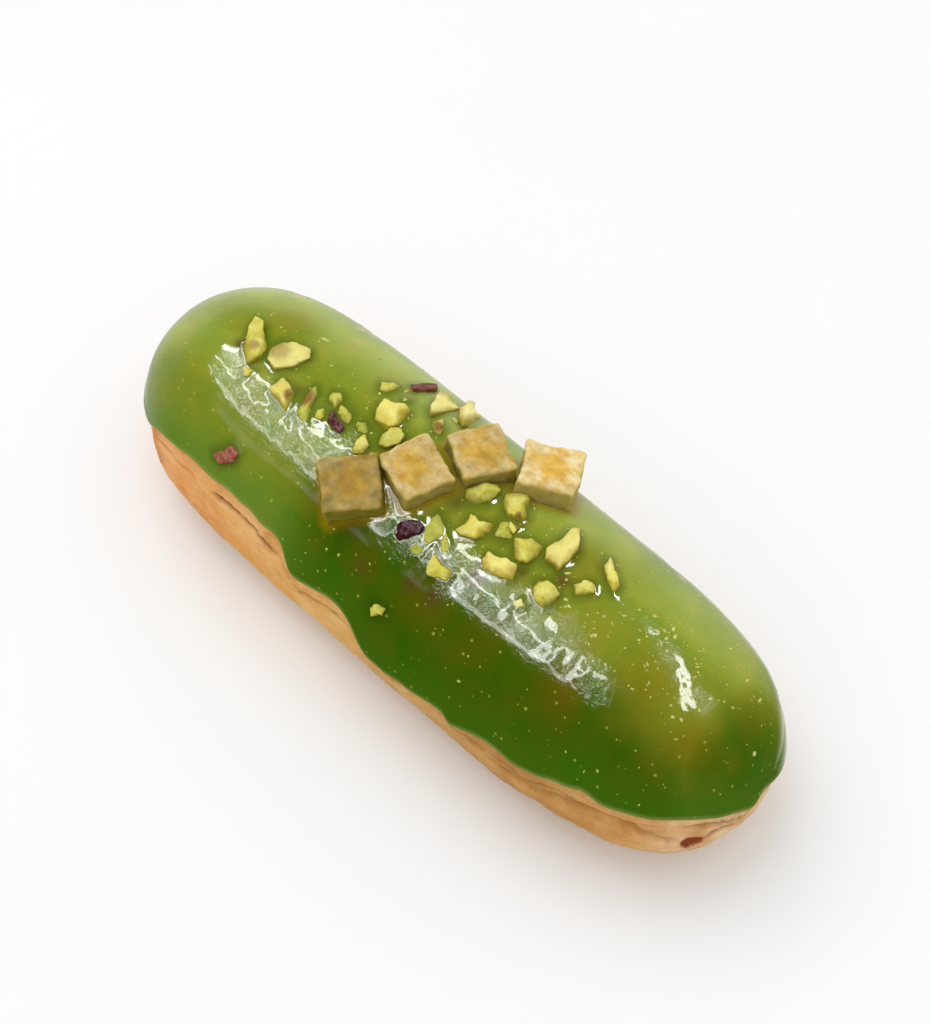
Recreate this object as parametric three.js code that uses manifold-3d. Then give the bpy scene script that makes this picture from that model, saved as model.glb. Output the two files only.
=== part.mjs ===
// A glazed eclair: a baked choux loaf under a coat of set icing that ends in uneven drips,
// with four squares of candied citrus peel pressed into the icing.
// Millimetres. X runs along the loaf, Z is up, and the origin is the middle of the base.
import * as THREE from "three";
import { mergeVertices } from "three/addons/utils/BufferGeometryUtils.js";
import Module from "manifold-3d";

// ---- The glazed loaf's overall form ----
const LENGTH = 130;
const WIDTH = 43.9;
const HEIGHT = 33; // to the top of the icing
const WIDEST_Z = 14; // the height at which the loaf is widest
const END_BLUNTNESS = 5.3; // plan exponent: 2 is an ellipse, more is blunter ends
const TOP_FULLNESS = 2.15; // cross-section exponent above the widest line
const UNDER_FULLNESS = 2.7; // cross-section exponent below it
const UNDER_DEPTH = 1.06 * WIDEST_Z; // deeper than the base, which cuts it flat
const SPINE = LENGTH / 2 - 0.475 * WIDTH; // half length of the crest line
const SPINE_EASE = 4; // how gradually the flanks turn into the round ends at the crest's ends

// ---- Choux under the icing ----
const CHOUX_INSET_TOP = 2.1; // how far the choux lies under the icing's outside
const INSET_STARTS_Z = 7;
const INSET_FULL_Z = 27;
const LUMPS = { depth: 0.25, broad: 7, narrow: 11, twist: 4 }; // soft hollows: waves round the loaf
const LUMPS_END_TURN = 1.5; // below this the underside is even

// ---- Icing coat ----
const GAP = 0.3; // clearance kept between touching pieces
const ICING_LEAST = 0.9; // thickness of the thin lower coat
const EDGE_Z = 20; // the icing edge's usual height
const BEAD = 1.6; // how far above its edge the coat begins to round off
const EDGE_SOFT = 0.5; // how far the edge ring is drawn in towards the choux
const INNER_STOPS = 0.985; // share of the way to the edge where the coat's inside ends

// Drips of the icing edge: at is the share of the way round from the +X tip, counterclockwise,
// drop is how far it hangs below EDGE_Z (negative where it stops short), and before and after
// are the half widths on its two sides.
const DRIPS = [
  { at: 0.035, drop: 7, before: 9, after: 10 },
  { at: 0.1, drop: 3, before: 7, after: 6 },
  { at: 0.15, drop: -3.6, before: 5, after: 5 },
  { at: 0.2, drop: 3.4, before: 8, after: 6 },
  { at: 0.258, drop: -3.2, before: 4, after: 4 },
  { at: 0.305, drop: 4.2, before: 5, after: 11 },
  { at: 0.367, drop: -4.2, before: 4, after: 4 },
  { at: 0.42, drop: -4, before: 3, after: 3 },
  { at: 0.48, drop: 3, before: 12, after: 12 },
  { at: 0.562, drop: 4.6, before: 15, after: 6.6 },
  { at: 0.647, drop: -2.1, before: 13.6, after: 21.5 },
  { at: 0.702, drop: 4.4, before: 2.3, after: 7 },
  { at: 0.765, drop: 6.9, before: 6.8, after: 21.7 },
  { at: 0.821, drop: 2, before: 1.5, after: 8.8 },
  { at: 0.868, drop: 2.9, before: 4.5, after: 13.4 },
  { at: 0.899, drop: -2.2, before: 8.8, after: 4.1 },
  { at: 0.966, drop: 0.8, before: 3.8, after: 6.4 },
  { at: 0.998, drop: 3.1, before: 6.3, after: 2.5 },
];

// ---- Crease round the near end, where the choux split while it rose, and the vent in it ----
const CREASE = { from: 0.86, to: 1.01, z: 15.6, depth: 1, halfWidth: 1.3, fade: 0.02 };
const VENT = { at: 0.963, z: 14.9, length: 3.6, height: 2, depth: 2.6 };

// How far the near end's underside draws in: it starts and is full at the first two turns,
// and eases off and is gone at the last two.
const TUCK = { from: 0.84, to: 1.04, fade: 0.05, depth: 1, turns: [1, 1.3, 1.45, 1.7] };

// ---- Candied citrus squares ----
// x, y and z are the middle of the top face, yaw turns the square about Z,
// and pitch tips it over the loaf, to the far side where positive. Degrees.
const CITRUS = [
  { x: -12.3, y: -9.8, z: 34.4, long: 9.8, wide: 9.6, deep: 5, yaw: 48, pitch: -12, seed: 1 },
  { x: -6.1, y: -1.1, z: 36.2, long: 8.9, wide: 9.9, deep: 5, yaw: 68, pitch: -2, seed: 2 },
  { x: -1.2, y: 8.6, z: 35.3, long: 9, wide: 9.6, deep: 5.5, yaw: 65, pitch: 6, seed: 3 },
  { x: 8.3, y: 14.8, z: 33.9, long: 9.6, wide: 10, deep: 7.5, yaw: 30, pitch: 14, seed: 4 },
];
const CITRUS_ROUND = 0.9; // edge rounding
const CITRUS_UNEVEN = 0.18; // how far a face strays from flat
const CITRUS_BOW = 2.4; // waves over a face, in radians for half its width

// ---- Mesh fineness ----
const COLUMNS = 116; // round the loaf, a multiple of 4
const OUTLINE_STEPS = 20000;
const CHOUX_TURNS = [0, 0.14, 0.28, 0.42, 0.55, 0.66, 0.75, 0.82, 0.88, 0.94, 1, 1.1, 1.24, 1.4, 1.56];
const ICING_ROWS = 12;
const ROW_CROWDING = 1.5; // over 1 crowds the rows towards the icing edge
const ICING_INNER_ROWS = 7;
const CITRUS_CUTS = 5;

const COLORS = {
  choux_body: 0xd2a062,
  green_icing: 0x4f7412,
  citrus: 0xcaa24c,
};

const wasm = await Module();
wasm.setup();

const smooth = (from, to, value) => THREE.MathUtils.smoothstep(value, from, to);

// ---- Plan outline: points an equal way apart round the superellipse, from the +X tip ----
function planPoint(angle) {
  const cos = Math.cos(angle);
  const sin = Math.sin(angle);
  const x = (LENGTH / 2) * Math.sign(cos) * Math.abs(cos) ** (2 / END_BLUNTNESS);
  return new THREE.Vector2(x, (WIDTH / 2) * sin);
}

function planOutline() {
  const quarter = [new THREE.Vector2(LENGTH / 2, 0)];
  const lengths = [0];
  for (let i = 1; i <= OUTLINE_STEPS; i++) {
    quarter.push(planPoint((i / OUTLINE_STEPS) * (Math.PI / 2)));
    lengths.push(lengths[i - 1] + quarter[i].distanceTo(quarter[i - 1]));
  }
  const perQuarter = COLUMNS / 4;
  const first = [];
  for (let i = 0, j = 0; i <= perQuarter; i++) {
    const wanted = (i / perQuarter) * lengths[OUTLINE_STEPS];
    while (j < OUTLINE_STEPS && lengths[j] < wanted) j++;
    first.push(quarter[j]);
  }
  // The other three quarters mirror the first, so that opposite points match.
  return Array.from({ length: COLUMNS }, (_, i) => {
    const half = i % (COLUMNS / 2);
    const fold = half <= perQuarter ? half : COLUMNS / 2 - half;
    const signX = i > perQuarter && i < 3 * perQuarter ? -1 : 1;
    const signY = i > COLUMNS / 2 ? -1 : 1;
    const x = fold === perQuarter ? 0 : signX * first[fold].x;
    return { x, y: fold === 0 ? 0 : signY * first[fold].y, share: i / COLUMNS };
  });
}

const OUTLINE = planOutline();
const PERIMETER = (() => {
  const closed = [...OUTLINE, OUTLINE[0]];
  return closed.slice(1).reduce((sum, p, i) => sum + Math.hypot(p.x - closed[i].x, p.y - closed[i].y), 0);
})();

// Millimetres round the plan from one share to another, the short way.
function roundFrom(share, other) {
  const apart = share - other;
  return (apart - Math.round(apart)) * PERIMETER;
}

// ---- The loaf's skin: turn is 0 on the crest, 1 at the widest line and 2 under the loaf ----
function skin(column, turn, lift) {
  const upper = turn <= 1;
  const fullness = upper ? TOP_FULLNESS : UNDER_FULLNESS;
  const rise = upper ? HEIGHT - WIDEST_Z : UNDER_DEPTH;
  const angle = (Math.PI / 2) * Math.abs(1 - turn);
  const across = turn === 0 || turn === 2 ? 0 : Math.cos(angle) ** (2 / fullness);
  const up = Math.sin(angle) ** (2 / fullness);
  const past = SPINE_EASE * Math.log(1 + Math.exp((Math.abs(column.x) - SPINE) / SPINE_EASE));
  const spineX = Math.sign(column.x) * Math.max(0, Math.abs(column.x) - past);
  const dx = column.x - spineX;
  const reach = Math.hypot(dx, column.y);
  const z = WIDEST_Z + (upper ? 1 : -1) * rise * up;
  // The way out of the skin, from the slope of the superellipse.
  const flat = across ** (fullness - 1) / reach;
  const steep = ((upper ? 1 : -1) * up ** (fullness - 1)) / rise;
  const size = Math.hypot(flat, steep);
  const out = lift(z, column, turn) / size;
  const side = across + (out * flat) / reach;
  return new THREE.Vector3(spineX + dx * side, column.y * side, Math.max(0, z + out * steep));
}

// The turn at which the skin passes a height.
function turnAt(z) {
  const upper = z >= WIDEST_Z;
  const share = upper ? (z - WIDEST_Z) / (HEIGHT - WIDEST_Z) : (WIDEST_Z - z) / UNDER_DEPTH;
  const fullness = upper ? TOP_FULLNESS : UNDER_FULLNESS;
  const angle = Math.asin(share ** (fullness / 2)) / (Math.PI / 2);
  return upper ? 1 - angle : 1 + angle;
}

function edgeZ(column) {
  return DRIPS.reduce((z, drip) => {
    const away = roundFrom(column.share, drip.at);
    return z - drip.drop * Math.exp(-((away / (away < 0 ? drip.before : drip.after)) ** 2));
  }, EDGE_Z);
}

// ---- How far each surface stands off the skin ----
const inset = (z) => CHOUX_INSET_TOP * smooth(INSET_STARTS_Z, INSET_FULL_Z, z);

function lumps(column, turn) {
  const way = column.share * 2 * Math.PI;
  const flank = Math.sin((Math.min(turn, LUMPS_END_TURN) / LUMPS_END_TURN) * Math.PI);
  const waves = Math.sin(LUMPS.broad * way + 1) + Math.sin(LUMPS.narrow * way + LUMPS.twist * turn);
  return LUMPS.depth * flank * (waves / 2 - 1);
}

// 1 along a stretch of the near end's outline, fading to 0 beyond it.
function along(stretch, column) {
  const share = column.share < 0.5 ? column.share + 1 : column.share;
  const started = smooth(stretch.from, stretch.from + stretch.fade, share);
  return started * (1 - smooth(stretch.to, stretch.to + stretch.fade, share));
}

function crease(column, z) {
  return CREASE.depth * along(CREASE, column) * Math.exp(-(((z - CREASE.z) / CREASE.halfWidth) ** 2));
}

function tuck(column, turn) {
  const [starts, full, eases, gone] = TUCK.turns;
  return TUCK.depth * along(TUCK, column) * smooth(starts, full, turn) * (1 - smooth(eases, gone, turn));
}

function chouxLift(z, column, turn) {
  return lumps(column, turn) - inset(z) - crease(column, z) - tuck(column, turn);
}

const icingInnerLift = (z) => GAP - inset(z);
const icingOuterLift = (z) => Math.max(0, icingInnerLift(z) + ICING_LEAST);

// ---- Solids ----
// Closes rows of points, each a ring round the loaf, into a geometry. The first and last rows
// lie on a line or are one point, so their doubled points merge and flat triangles drop out.
function closeRows(rows) {
  const points = rows.flat();
  const n = COLUMNS;
  const index = [];
  for (let r = 0; r + 1 < rows.length; r++) {
    for (let c = 0; c < n; c++) {
      const [a, b] = [r * n + c, r * n + ((c + 1) % n)];
      const [d, e] = [a + n, b + n];
      index.push(a, d, b, b, d, e);
    }
  }
  const geometry = new THREE.BufferGeometry().setFromPoints(points);
  geometry.setIndex(index);
  const merged = mergeVertices(geometry, 1e-4);
  const kept = [];
  for (let i = 0; i < merged.index.count; i += 3) {
    const [a, b, c] = [0, 1, 2].map((k) => merged.index.getX(i + k));
    if (a !== b && b !== c && c !== a) kept.push(a, b, c);
  }
  merged.setIndex(kept);
  return merged;
}

function toSolid(geometry) {
  const vertProperties = geometry.attributes.position.array;
  const triVerts = new Uint32Array(geometry.index.array);
  return new wasm.Manifold(new wasm.Mesh({ numProp: 3, vertProperties, triVerts }));
}

function fromSolid(solid) {
  const mesh = solid.getMesh();
  const geometry = new THREE.BufferGeometry();
  geometry.setAttribute("position", new THREE.BufferAttribute(mesh.vertProperties, 3));
  geometry.setIndex(new THREE.BufferAttribute(mesh.triVerts, 1));
  return geometry;
}

// A whole loaf, from its crest to the rim of its flat base and the base's middle line.
function loafGeometry(lift) {
  const turns = [...CHOUX_TURNS, turnAt(0), 2];
  return closeRows(turns.map((turn) => OUTLINE.map((column) => skin(column, turn, lift))));
}

// A ragged pit at the crease, through which the loaf vented in the oven.
function ventGeometry() {
  const column = OUTLINE[Math.round(VENT.at * COLUMNS)];
  const place = skin(column, turnAt(VENT.z), chouxLift);
  const outward = Math.atan2(column.y, column.x - Math.sign(column.x) * SPINE);
  const pit = new THREE.IcosahedronGeometry(1, 2);
  pit.deleteAttribute("normal");
  pit.deleteAttribute("uv");
  pit.scale(VENT.depth, VENT.length / 2, VENT.height / 2);
  pit.rotateZ(outward);
  pit.translate(place.x, place.y, place.z);
  return mergeVertices(pit, 1e-4);
}

function icingGeometry() {
  const outer = [];
  for (let r = 0; r <= ICING_ROWS; r++) {
    const down = 1 - (1 - r / ICING_ROWS) ** ROW_CROWDING;
    outer.push(OUTLINE.map((column) => {
      const edge = edgeZ(column);
      const lift = (z) => {
        const near = Math.max(0, 1 - (z - edge) / BEAD);
        return icingOuterLift(z) - EDGE_SOFT * Math.min(1, near) ** 3;
      };
      return skin(column, turnAt(edge) * down, lift);
    }));
  }
  const inner = [];
  for (let r = ICING_INNER_ROWS; r >= 0; r--) {
    const down = (r / ICING_INNER_ROWS) * INNER_STOPS;
    inner.push(OUTLINE.map((column) => skin(column, turnAt(edgeZ(column)) * down, icingInnerLift)));
  }
  return closeRows([...outer, ...inner]);
}

// The space that the citrus squares leave to the icing.
function icingClearance() {
  return toSolid(loafGeometry((z) => icingOuterLift(z) + GAP));
}

// The waviness of a cut face, from a phase of its own.
const bow = (phase, across) => CITRUS_UNEVEN * Math.sin(phase + CITRUS_BOW * across);

function citrusGeometry(square, clearance) {
  const { long, wide, deep, seed } = square;
  const half = new THREE.Vector3(long / 2, wide / 2, deep / 2);
  const box = new THREE.BoxGeometry(long, wide, deep, CITRUS_CUTS, CITRUS_CUTS, CITRUS_CUTS - 1);
  box.deleteAttribute("normal");
  box.deleteAttribute("uv");
  const geometry = mergeVertices(box, 1e-4);
  const position = geometry.attributes.position;
  const point = new THREE.Vector3();
  const core = new THREE.Vector3();
  for (let i = 0; i < position.count; i++) {
    point.fromBufferAttribute(position, i);
    core.copy(half).subScalar(CITRUS_ROUND);
    core.set(...["x", "y", "z"].map((k) => THREE.MathUtils.clamp(point[k], -core[k], core[k])));
    point.sub(core).setLength(CITRUS_ROUND).add(core);
    const [u, v] = [point.x / half.x, point.y / half.y];
    point.x += bow(2 * seed, v) + (CITRUS_UNEVEN * u * v) / 2;
    point.y += bow(3 * seed, u) + (CITRUS_UNEVEN * u * v) / 2;
    point.z += bow(5 * seed, u - v) / 2;
    position.setXYZ(i, point.x, point.y, point.z);
  }
  geometry.translate(0, 0, -half.z);
  geometry.rotateZ(THREE.MathUtils.degToRad(square.yaw));
  geometry.rotateX(THREE.MathUtils.degToRad(-square.pitch));
  geometry.translate(square.x, square.y, square.z);
  return fromSolid(toSolid(geometry).subtract(clearance));
}

function piece(name, geometry, color, roughness) {
  geometry.computeVertexNormals();
  const material = new THREE.MeshStandardMaterial({ color, roughness, metalness: 0 });
  const mesh = new THREE.Mesh(geometry, material);
  mesh.name = name;
  return mesh;
}

const eclair = new THREE.Group();
const choux = fromSolid(toSolid(loafGeometry(chouxLift)).subtract(toSolid(ventGeometry())));
eclair.add(piece("choux_body", choux, COLORS.choux_body, 0.7));
eclair.add(piece("green_icing", icingGeometry(), COLORS.green_icing, 0.12));

const clearance = icingClearance();
CITRUS.forEach((square, i) => {
  const geometry = citrusGeometry(square, clearance);
  eclair.add(piece(`citrus_square_${i + 1}`, geometry, COLORS.citrus, 0.5));
});

export default eclair;
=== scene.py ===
# %% [markdown]
# # A glazed eclair with candied citrus and chopped pistachio
# An eclair is a baked choux loaf, dipped upside down in a warm glaze and turned over, so that the
# glaze runs to its sides and sets in drips. The toppings are pressed in while it is still soft.
# This lesson builds its looks over a fixed CAD model, which gives every size. The model loads
# first, and each piece made here stands in the place of one of its nodes or rests on one.

from functools import partial

import bmesh
import bpy
import numpy as np
from mathutils import Matrix, Vector, noise
from mathutils.bvhtree import BVHTree


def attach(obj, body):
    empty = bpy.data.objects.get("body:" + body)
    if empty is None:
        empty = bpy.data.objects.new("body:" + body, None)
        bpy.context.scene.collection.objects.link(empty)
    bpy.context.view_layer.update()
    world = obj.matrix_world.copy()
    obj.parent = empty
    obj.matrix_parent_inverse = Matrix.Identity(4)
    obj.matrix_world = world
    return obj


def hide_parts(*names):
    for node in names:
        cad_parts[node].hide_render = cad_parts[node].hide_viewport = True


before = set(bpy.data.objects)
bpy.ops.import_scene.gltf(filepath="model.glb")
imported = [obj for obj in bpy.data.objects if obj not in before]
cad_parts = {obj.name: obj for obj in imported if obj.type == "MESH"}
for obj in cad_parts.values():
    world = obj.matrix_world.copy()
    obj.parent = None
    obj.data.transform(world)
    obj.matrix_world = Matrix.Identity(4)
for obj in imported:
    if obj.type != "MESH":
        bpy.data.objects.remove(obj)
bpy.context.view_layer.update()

# %% [markdown]
# ## Camera
# The camera comes first, because some small pieces are placed by where the photo shows them.
# It stands 380 mm from the eclair and looks down on it at 57 degrees, from the near long side.
# A long lens keeps the two ends nearly the same size.

# %% Camera
IMAGE_WIDE, IMAGE_HIGH = 931, 1024  # the picture, in pixels
LENS_PIXELS = 2312.14  # focal length, in pixels
SENSOR = 36.0  # mm
AROUND, ABOVE = np.radians(44.077), np.radians(57)
LOOKS_AT = np.array([-3.1675, 6.9590, 17.0])  # mm
AWAY = 380.0  # mm

right = np.array([np.cos(AROUND), np.sin(AROUND), 0])
up = np.array([-np.sin(AROUND) * np.sin(ABOVE), np.cos(AROUND) * np.sin(ABOVE), np.cos(ABOVE)])
back = np.cross(right, up)
eye = LOOKS_AT + AWAY * back

camera = bpy.data.objects.new("camera", bpy.data.cameras.new("camera"))
camera.data.sensor_width = SENSOR
camera.data.lens = SENSOR * LENS_PIXELS / IMAGE_HIGH
camera.data.clip_start = 0.01
camera.matrix_world = Matrix(np.column_stack([right, up, back, eye / 1000]).tolist() + [[0, 0, 0, 1]])
bpy.context.scene.collection.objects.link(camera)
bpy.context.scene.camera = camera


def sight(pixel):
    """The direction in which the camera sees a pixel of the picture."""
    x, y = pixel
    way = right * (x - IMAGE_WIDE / 2) - up * (y - IMAGE_HIGH / 2) - back * LENS_PIXELS
    return way / np.linalg.norm(way)


print(f"lens {camera.data.lens:.1f} mm, camera at {np.round(eye)} mm")

# %% [markdown]
# ## Colours and nodes
# Colours are written as sRGB hex, as a painter's tool shows them, but Blender mixes light in linear
# values, so one function turns the one into the other. A second adds a shader node with its
# settings and links, and gives back its output, so a material reads from its pattern to its shader.

# %% Helpers for colours and nodes
def linear(hex_colour):
    """An sRGB colour such as "#c8a050" as linear red, green, blue and alpha."""
    srgb = np.array([int(hex_colour[i : i + 2], 16) for i in (1, 3, 5)]) / 255
    return (*np.where(srgb <= 0.04045, srgb / 12.92, ((srgb + 0.055) / 1.055) ** 2.4), 1.0)


def add_node(tree, kind, *first, out=0, stops=(), **named):
    """Adds a node and gives back one of its outputs. Each socket gets a number, a hex colour or
    another node's output: the first ones in their order, and others by name, such as Base_Color.
    From=(0, 1) fills From Min and From Max. Names in small letters are settings. stops are the
    places and colours of a colour ramp."""
    made = tree.nodes.new("ShaderNode" + kind)
    for name in [name for name in named if name.islower()]:
        setattr(made, name, named.pop(name))
    by_name = {s.name.replace(" ", "_"): s for s in reversed(list(made.inputs)) if s.enabled}
    filled = list(zip(made.inputs, first))
    for name, value in named.items():
        if name in by_name:
            filled.append((by_name[name], value))
        else:
            filled += zip((by_name[name + "_Min"], by_name[name + "_Max"]), value)
    for socket, value in filled:
        if isinstance(value, bpy.types.NodeSocket):
            tree.links.new(value, socket)
        else:
            socket.default_value = linear(value) if isinstance(value, str) else value
    for i, (place, colour) in enumerate(stops):
        ramp = made.color_ramp.elements
        stop = ramp[i] if i < 2 else ramp.new(place)
        stop.position, stop.color = place, linear(colour)
    shown = [s for s in made.outputs if s.enabled and out in (0, s.name)]
    return shown[0] if shown else None


def new_material(name):
    """An empty material, the function that adds nodes to it, and its place for patterns."""
    material = bpy.data.materials.new(name)
    material.use_nodes = True
    material.node_tree.nodes.clear()
    add = partial(add_node, material.node_tree)
    return material, add, add("TexCoord", out="Object")


def per(size_mm):
    """The scale of a pattern whose marks lie size_mm apart, for coordinates in metres."""
    return 1000 / size_mm


print("mid grey in linear values:", np.round(linear("#808080")[:3], 3))

# %% [markdown]
# ## The loaf's form
# A piped eclair is a long blunt-ended bar with a domed top and a flat base. Its surface is made of
# rings round the plan: `share` is the way round from the +X tip, and `turn` runs from 0 on the
# crest over 1 at the widest line to 2 in the middle of the base. `lift` moves a point out along the
# surface's own slope. It could be sculpted by hand, but these are the CAD model's formulas, so the
# fine surface lies where that does.

# %% Sizes of the loaf, in mm
LENGTH, WIDTH, HEIGHT = 130, 43.9, 33
WIDEST_Z = 14
END_BLUNTNESS = 5.3
TOP_FULLNESS, UNDER_FULLNESS = 2.15, 2.7
UNDER_DEPTH = 1.06 * WIDEST_Z
SPINE = LENGTH / 2 - 0.475 * WIDTH
SPINE_EASE = 4


def smooth(start, end, value):
    """0 before start, 1 after end, and an even curve between them."""
    t = np.clip((value - start) / (end - start), 0, 1)
    return t * t * (3 - 2 * t)


def plan_outline(share):
    """x, y and share of points at some shares of the way round the plan, and the way round in mm."""
    angle = np.linspace(0, np.pi / 2, 20001)
    x = LENGTH / 2 * np.cos(angle) ** (2 / END_BLUNTNESS)
    y = WIDTH / 2 * np.sin(angle)
    run = np.concatenate([[0], np.cumsum(np.hypot(np.diff(x), np.diff(y)))])
    quarter = 4 * share
    way = np.abs((quarter + 1) % 2 - 1) * run[-1]  # the other three quarters mirror the first
    sign_x = np.where((quarter > 1) & (quarter < 3), -1, 1)
    sign_y = np.where(quarter > 2, -1, 1)
    return sign_x * np.interp(way, run, x), sign_y * np.interp(way, run, y), share, 4 * run[-1]


def skin(outline, turn, lift=0):
    """Points in mm for rows of turns, each as long as the outline."""
    x, y = outline[:2]
    side = np.where(turn <= 1, 1, -1)
    fullness = np.where(turn <= 1, TOP_FULLNESS, UNDER_FULLNESS)
    rise = np.where(turn <= 1, HEIGHT - WIDEST_Z, UNDER_DEPTH)
    angle = np.pi / 2 * np.abs(1 - turn)
    across = np.where((turn <= 0) | (turn >= 2), 0, np.abs(np.cos(angle)) ** (2 / fullness))
    upward = np.sin(angle) ** (2 / fullness)
    past = SPINE_EASE * np.log(1 + np.exp((np.abs(x) - SPINE) / SPINE_EASE))
    spine_x = np.sign(x) * np.maximum(0, np.abs(x) - past)
    dx = x - spine_x
    reach = np.hypot(dx, y)
    flat = across ** (fullness - 1) / reach
    steep = side * upward ** (fullness - 1) / rise
    out = lift / np.hypot(flat, steep)
    stretch = across + out * flat / reach
    z = WIDEST_Z + side * rise * upward + out * steep
    return np.stack([spine_x + dx * stretch, y * stretch, np.maximum(0, z)], -1)


def turn_at(z):
    """The turn at which the surface passes a height."""
    above = z >= WIDEST_Z
    share = np.where(above, (z - WIDEST_Z) / (HEIGHT - WIDEST_Z), (WIDEST_Z - z) / UNDER_DEPTH)
    fullness = np.where(above, TOP_FULLNESS, UNDER_FULLNESS)
    angle = np.arcsin(share ** (fullness / 2)) / (np.pi / 2)
    return np.where(above, 1 - angle, 1 + angle)


AROUND_PLAN = plan_outline(np.zeros(1))[3]
print(f"way round the plan {AROUND_PLAN:.0f} mm")

# %% [markdown]
# ## The icing's edge
# The glaze ran down by its own weight, so its edge hangs in long lazy drips and stops short
# between them. It could be drawn by hand, but the CAD model has the same list: how far each drip
# hangs under the usual height, and how wide it is on its two sides. A slight tremble is added, as
# no real edge is drawn with a ruler.

# %% The icing's edge
EDGE_Z = 20
DRIPS = [  # share of the way round, drop, half width before it and after it, in mm
    (0.035, 7, 9, 10), (0.1, 3, 7, 6), (0.15, -3.6, 5, 5), (0.2, 3.4, 8, 6),
    (0.258, -3.2, 4, 4), (0.305, 4.2, 5, 11), (0.367, -4.2, 4, 4), (0.42, -4, 3, 3),
    (0.48, 3, 12, 12), (0.562, 4.6, 15, 6.6), (0.647, -2.1, 13.6, 21.5), (0.702, 4.4, 2.3, 7),
    (0.765, 6.9, 6.8, 21.7), (0.821, 2, 1.5, 8.8), (0.868, 2.9, 4.5, 13.4), (0.899, -2.2, 8.8, 4.1),
    (0.966, 0.8, 3.8, 6.4), (0.998, 3.1, 6.3, 2.5),
]
EDGE_TREMBLE = 0.25  # mm


def way_from(share, other):
    """Millimetres round the plan from one share to another, the short way."""
    apart = share - other
    return (apart - np.round(apart)) * AROUND_PLAN


def edge_z(share):
    """Height of the icing's edge above the table, in mm."""
    z = np.full(np.shape(share), float(EDGE_Z))
    for at, drop, before, after in DRIPS:
        away = way_from(share, at)
        z -= drop * np.exp(-((away / np.where(away < 0, before, after)) ** 2))
    way = 2 * np.pi * share
    return z + EDGE_TREMBLE * (np.sin(41 * way + 2 * np.sin(9 * way)) + np.sin(23 * way + 1)) / 2


print("icing edge, mm above the table:", np.round(edge_z(np.arange(8) / 8), 1))

# %% [markdown]
# ## Relief and rings
# Baked dough and set glaze are never quite even. `waviness` gives smooth noise with marks of a
# real size in millimetres. A modifier could push the mesh about too, but as plain numbers the
# noise can be mixed with the formulas and stored for a material. The rings become one closed mesh.
# Their first and last rows fold onto the crest line or the base line, where doubled points merge.

# %% Helpers for relief and meshes
def waviness(points, size, seed, octaves=1):
    """Noise from about -1 to 1 at points in mm, with marks about size mm apart."""
    shift = Vector((17.3 * seed, -9.1 * seed, 5.7 * seed))
    flat = points.reshape(-1, 3) / size
    found = [noise.fractal(Vector(p) + shift, 1.0, 2.0, octaves) for p in flat]
    return np.array(found).reshape(points.shape[:-1])


def new_mesh(name, points, faces, values=()):
    """A mesh from points in mm. Its values are numbers for each point, stored by name, which a
    material can read."""
    mesh = bpy.data.meshes.new(name)
    mesh.from_pydata((points.reshape(-1, 3) / 1000).tolist(), [], faces)
    for stored, value in dict(values).items():
        layer = mesh.attributes.new(stored, "FLOAT", "POINT")
        layer.data.foreach_set("value", np.asarray(value, np.float32).ravel())
    return mesh


def ring_faces(rows):
    """The four-sided faces between rows of points."""
    index = np.arange(rows[..., 0].size).reshape(rows.shape[:2])
    upper, lower = index[:-1], index[1:]
    quads = np.stack([upper, lower, np.roll(lower, -1, 1), np.roll(upper, -1, 1)], -1)
    return quads.reshape(-1, 4).tolist()


def ring_mesh(name, rows, values):
    """One closed mesh from rows of points in mm."""
    mesh = new_mesh(name, rows, ring_faces(rows), values)
    shape = bmesh.new()
    shape.from_mesh(mesh)
    shape.verts.ensure_lookup_table()
    row = rows.shape[1]
    bmesh.ops.remove_doubles(shape, verts=shape.verts[:row] + shape.verts[-row:], dist=2e-5)
    shape.to_mesh(mesh)
    shape.free()
    return mesh


def show(mesh, material, node_names=()):
    """Puts a smooth-shaded piece in the scene, with its material and body, and hides the CAD parts it
    replaces.
    """
    mesh.shade_smooth()
    piece = bpy.data.objects.new(mesh.name, mesh)
    bpy.context.scene.collection.objects.link(piece)
    mesh.materials.append(material)
    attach(piece, "root")
    if node_names:
        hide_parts(*node_names)
    mesh.calc_loop_triangles()
    print(f"{piece.name}: {len(mesh.loop_triangles)} triangles")


print("waviness at three places:", np.round(waviness(np.eye(3), 2, 1), 2))

# %% [markdown]
# ## Choux
# The loaf swelled in the oven, so its flank has soft hollows and fine wrinkles. At the near end
# the dough rolled over itself in a long fold, and split in a crack beside the small ragged vent
# where steam left. Under the icing's lip runs a thin gap, where the coat doesn't touch the crust.
# A bump in the material would leave the outline smooth, so all of these shapes are geometry: broad
# forms from the CAD formulas, and finer relief from noise. The crust's colour is also painted darker
# along the gap, the fold, the vent and the crack, which is painted shade in these hollows. Rows are
# close together where the choux shows and columns where the vent is, and far apart where the icing
# covers it.

# %% Forms of the choux
CHOUX_INSET_TOP = 2.1  # how far it lies under the icing's outside
CLEARANCE = 0.3  # between the CAD's choux and icing
CREASE = {"from": 0.86, "to": 1.01, "z": 15.6, "deep": 1.0, "half": 1.3, "fade": 0.02}
TUCK = {"from": 0.84, "to": 1.04, "deep": 1.0, "fade": 0.05}


def inset(z):
    """How far the choux lies under the icing's outside, in mm."""
    return CHOUX_INSET_TOP * smooth(7, 27, z)


def along(stretch, share):
    """1 along a stretch of the near end's outline, and 0 beyond it."""
    share = np.where(share < 0.5, share + 1, share)
    start, end, fade = stretch["from"], stretch["to"], stretch["fade"]
    return smooth(start, start + fade, share) * (1 - smooth(end, end + fade, share))


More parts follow.
